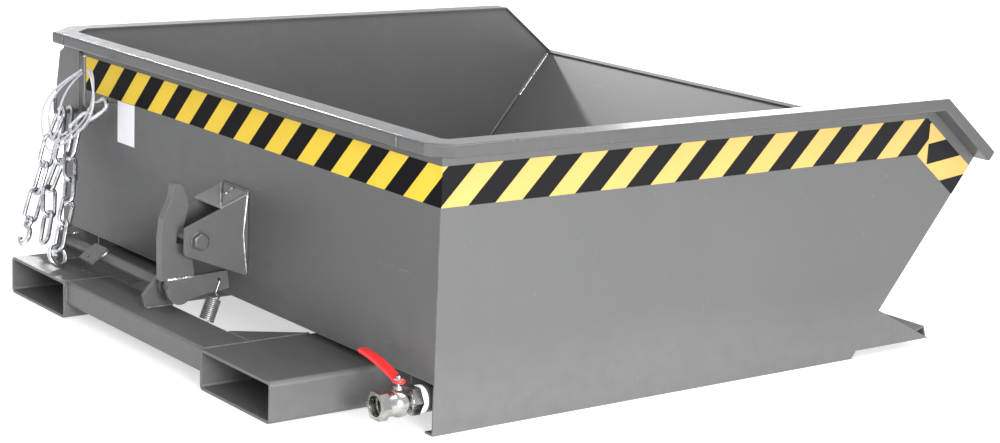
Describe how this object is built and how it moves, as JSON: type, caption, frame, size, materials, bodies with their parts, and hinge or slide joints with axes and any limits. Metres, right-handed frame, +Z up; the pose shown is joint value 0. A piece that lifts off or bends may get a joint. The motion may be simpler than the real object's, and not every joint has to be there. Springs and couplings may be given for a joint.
{
  "type": "self dumping hopper",
  "caption": "Low open-top steel tipping container with a sloped pouring front, folded rim and striped tape, hinged on a fork pocket frame with a sprung latch and a drain valve.",
  "frame": {"origin": "on the ground under the middle of the hopper's outline", "axes": "+Z up; +Y from the fork entry and latch at the back to the pouring lip; +X towards the side with the drain valve"},
  "size_m": [1.574, 1.619, 0.541],
  "materials": {
    "grey_paint": "satin mid grey paint",
    "zinc_steel": "bright zinc plate",
    "spring_steel": "drawn spring wire",
    "valve_metal": "nickel plated",
    "hazard_tape": "yellow film with black slanted stripes",
    "red_paint": "gloss red coat",
    "white_label": "plain white sticker",
    "white_seal": "white sealing ring",
    "cable_coat": "clear coated wire cable"
  },
  "bodies": {
    "frame": {"fork_pocket_left": "grey_paint", "fork_pocket_right": "grey_paint", "rear_crossbar": "grey_paint", "corner_gusset_right": "grey_paint", "corner_gusset_left": "grey_paint", "front_beam": "grey_paint", "pivot_clevis_left": "grey_paint", "pivot_clevis_right": "grey_paint", "pivot_pins": "zinc_steel", "latch_bearing_left": "grey_paint", "latch_bearing_right": "grey_paint", "spring_anchor": "grey_paint", "return_spring": "spring_steel"},
    "container": {"side_panel_right": "grey_paint", "side_panel_left": "grey_paint", "back_wall": "grey_paint", "floor_sheet": "grey_paint", "front_wall": "grey_paint", "lip_strip": "grey_paint", "nose_apron": "grey_paint", "nose_plate": "grey_paint", "nose_angle": "grey_paint", "side_ribs": "grey_paint", "cross_rib": "grey_paint", "side_rim_right": "grey_paint", "side_rim_left": "grey_paint", "back_rim": "grey_paint", "pivot_lug_right": "grey_paint", "pivot_lug_left": "grey_paint", "keeper_plate_near": "grey_paint", "keeper_plate_far": "grey_paint", "keeper_bridge": "grey_paint", "keeper_bolt": "zinc_steel", "keeper_washers": "zinc_steel", "keeper_nut": "zinc_steel", "side_tape_right": "hazard_tape", "side_tape_left": "hazard_tape", "back_tape": "hazard_tape", "label_plate": "white_label", "hanger_plate": "grey_paint", "cable_cleat": "grey_paint", "cable_hank": "cable_coat", "chain_left": "zinc_steel", "chain_middle": "zinc_steel", "chain_right": "zinc_steel", "chain_hook": "zinc_steel", "chain_ring": "zinc_steel", "drain_pipe": "grey_paint", "seal_ring": "white_seal", "drain_strainer": "zinc_steel", "valve_body": "valve_metal"},
    "latch": {"latch_shaft": "grey_paint", "shaft_collars": "zinc_steel", "latch_arm": "grey_paint", "latch_hook": "grey_paint", "release_lug": "grey_paint"},
    "valve_lever": {"valve_ball": "valve_metal", "valve_stem": "valve_metal", "valve_lever": "red_paint", "lever_nut": "valve_metal"}
  },
  "joints": [
    {"name": "container_tip", "type": "hinge", "parent": "frame", "child": "container", "pos_m": [0, 0.0725, 0.07], "axis": [-1, 0, 0], "range_deg": [0, 70]},
    {"name": "latch_turn", "type": "hinge", "parent": "frame", "child": "latch", "pos_m": [0, -0.7165, 0.123], "axis": [1, 0, 0], "range_deg": [-6, 25], "stiffness_Nm_per_rad": 12, "deforming": ["return_spring"]},
    {"name": "valve_turn", "type": "hinge", "parent": "container", "child": "valve_lever", "pos_m": [0.7, -0.6375, 0.1], "axis": [0, 0, 1], "range_deg": [0, 90]}
  ]
}
